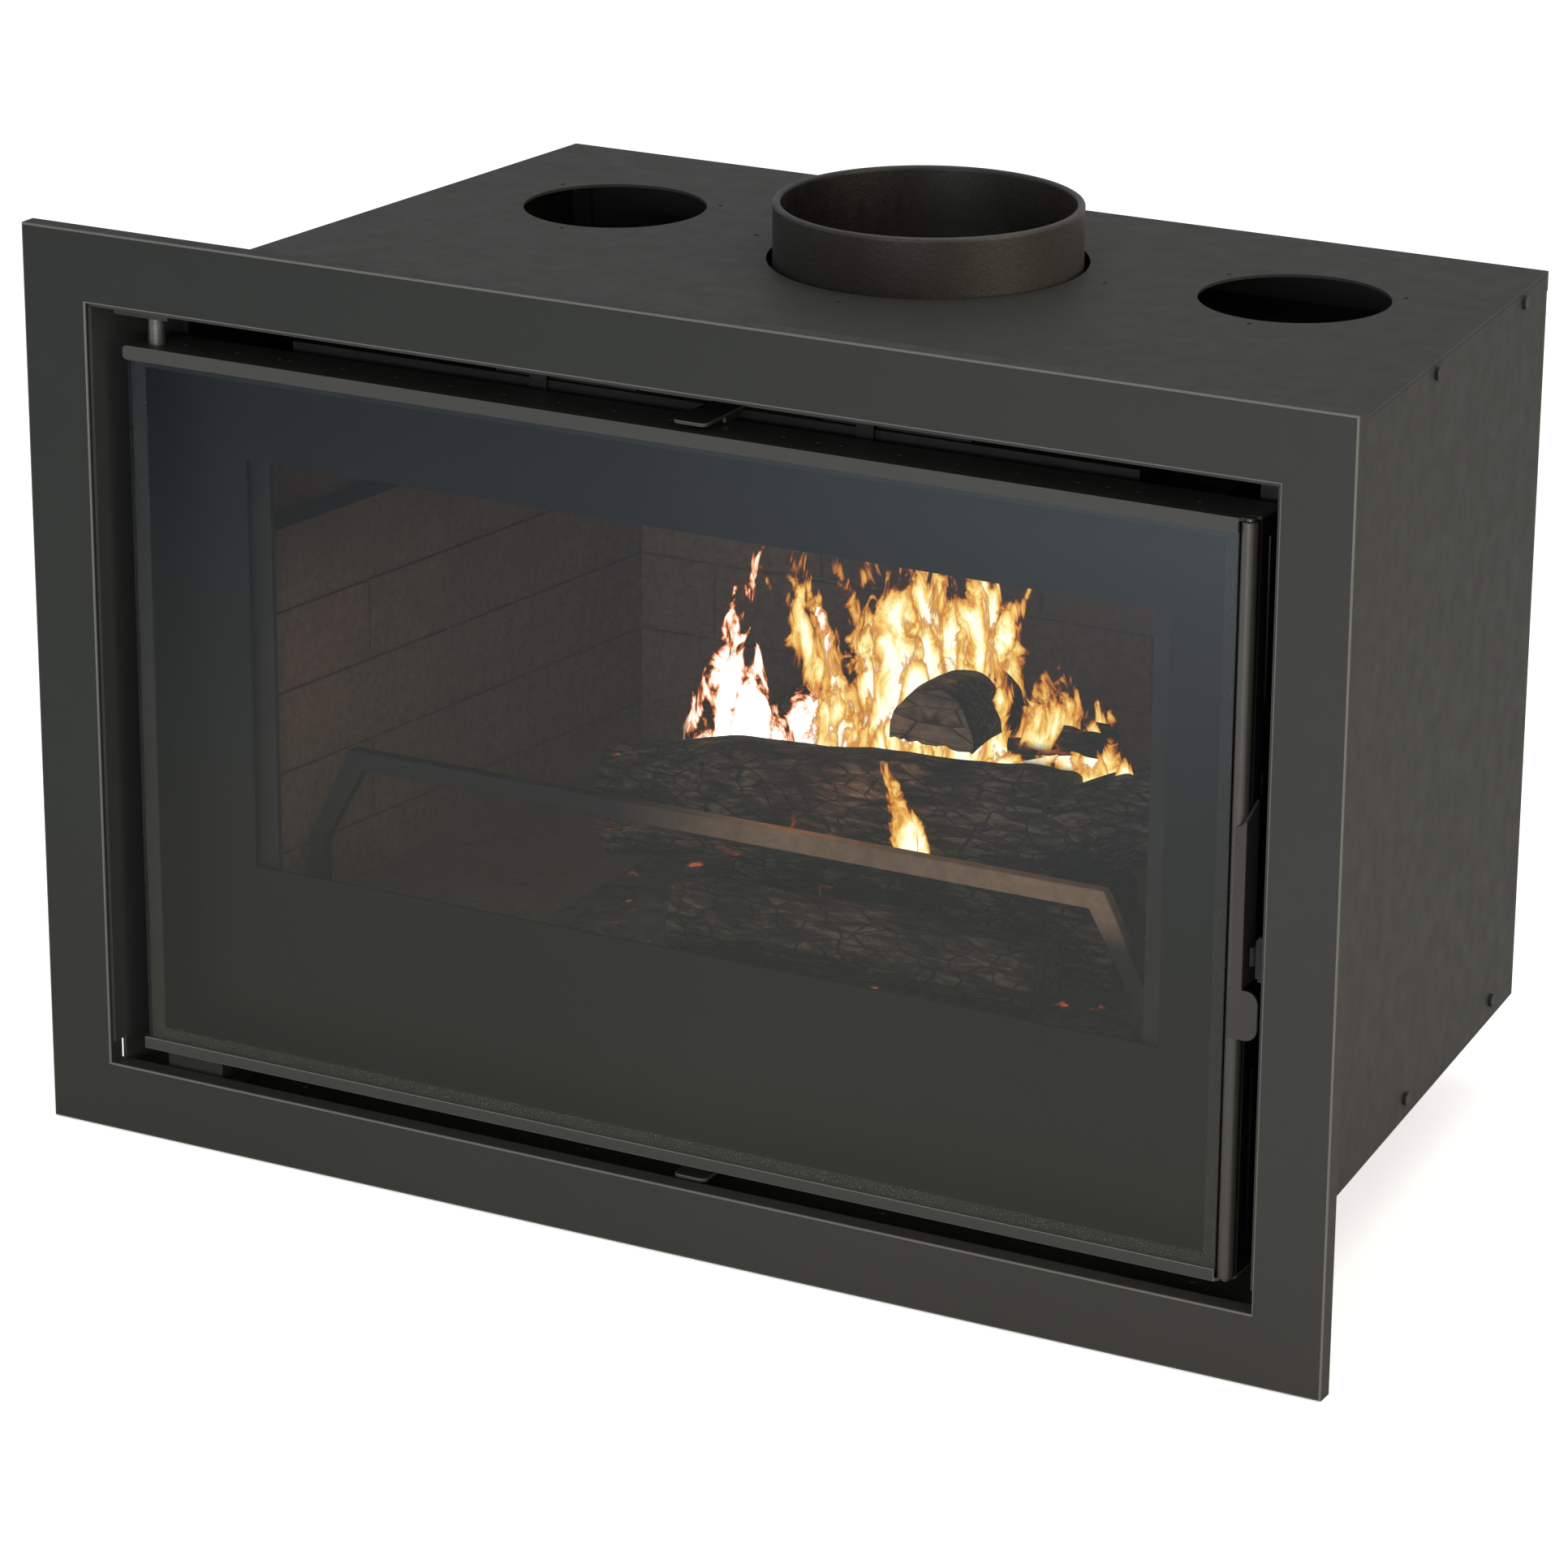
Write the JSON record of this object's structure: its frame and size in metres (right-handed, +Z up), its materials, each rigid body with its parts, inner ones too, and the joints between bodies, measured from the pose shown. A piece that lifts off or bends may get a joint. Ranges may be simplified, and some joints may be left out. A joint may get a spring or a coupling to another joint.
{
  "type": "fireplace insert",
  "caption": "Built-in wood-burning fireplace insert: steel casing, mitred front frame, wide side-hinged glass door, brick-lined firebox, round flue collar and hot-air outlets.",
  "frame": {"origin": "middle of the casing's underside, 310 mm behind the front frame's face; the frame hangs below it", "axes": "+X to the right seen from the front, +Y back into the chimney breast, +Z up"},
  "size_m": [0.9, 0.5273, 0.6],
  "materials": {
    "anthracite_paint": "matt fine-texture stove paint",
    "casing_paint": "matt fine-texture grey paint",
    "black_steel": "matt black heat-proof paint",
    "vermiculite": "moulded vermiculite board, smoked",
    "cast_iron": "raw casting",
    "collar_iron": "rough casting",
    "zinc_plate": "zinc plated",
    "ceramic_glass": "clear ceramic glass",
    "glass_rope": "woven glass-fibre seal"
  },
  "bodies": {
    "casing": {"frame_top_rail": "anthracite_paint", "frame_bottom_rail": "anthracite_paint", "frame_right_rail": "anthracite_paint", "frame_left_rail": "anthracite_paint", "casing_cover": "casing_paint", "casing_side_left": "casing_paint", "casing_side_right": "casing_paint", "casing_back": "casing_paint", "casing_base": "casing_paint", "front_sill": "anthracite_paint", "hot_air_fascia": "black_steel", "flue_collar": "collar_iron", "side_screw_left_front_lower": "zinc_plate", "side_screw_left_front_upper": "zinc_plate", "side_screw_left_rear_lower": "zinc_plate", "side_screw_left_rear_upper": "zinc_plate", "side_screw_right_front_lower": "zinc_plate", "side_screw_right_front_upper": "zinc_plate", "side_screw_right_rear_lower": "zinc_plate", "side_screw_right_rear_upper": "zinc_plate", "firebox_front": "black_steel", "firebox_side_left": "black_steel", "firebox_side_right": "black_steel", "firebox_back": "black_steel", "firebox_roof": "black_steel", "firebox_bottom": "black_steel", "support_rail_left": "zinc_plate", "support_rail_right": "zinc_plate", "brick_lining_left": "vermiculite", "brick_lining_right": "vermiculite", "brick_lining_back": "vermiculite", "baffle_plate": "vermiculite", "hearth_plate": "black_steel", "hearth_slab_left": "vermiculite", "hearth_slab_right": "vermiculite", "hearth_slab_front": "vermiculite", "hearth_slab_rear": "vermiculite", "ash_well": "black_steel", "ash_pan": "zinc_plate", "grate": "cast_iron", "log_retainer": "cast_iron", "airwash_duct": "black_steel", "airwash_slide_guide": "zinc_plate", "primary_slide_guide": "zinc_plate", "hinge_bracket_upper": "anthracite_paint", "hinge_bracket_lower": "anthracite_paint", "latch_keeper": "black_steel"},
    "door": {"door_frame": "anthracite_paint", "door_top_strip": "anthracite_paint", "door_bottom_strip": "anthracite_paint", "door_glass": "ceramic_glass", "glass_seal": "glass_rope", "door_rope_seal": "glass_rope", "hinge_pin_upper": "zinc_plate", "hinge_pin_lower": "zinc_plate"},
    "latch": {"latch_rod": "anthracite_paint", "door_handle": "anthracite_paint", "latch_cam": "black_steel"},
    "airwash_control": {"airwash_slide": "anthracite_paint"},
    "primary_air_control": {"primary_air_slide": "anthracite_paint"}
  },
  "joints": [
    {"name": "door_hinge", "type": "hinge", "parent": "casing", "child": "door", "pos_m": [-0.368, -0.284, 0.2], "axis": [0, 0, -1], "range_deg": [0, 100]},
    {"name": "handle_turn", "type": "hinge", "parent": "door", "child": "latch", "pos_m": [0.3793, -0.2927, 0.23], "axis": [0, 0, -1], "range_deg": [0, 35]},
    {"name": "airwash_slide_travel", "type": "slide", "parent": "casing", "child": "airwash_control", "axis": [1, 0, 0], "range_m": [-0.05, 0.05]},
    {"name": "primary_slide_travel", "type": "slide", "parent": "casing", "child": "primary_air_control", "axis": [1, 0, 0], "range_m": [-0.05, 0.05]}
  ]
}
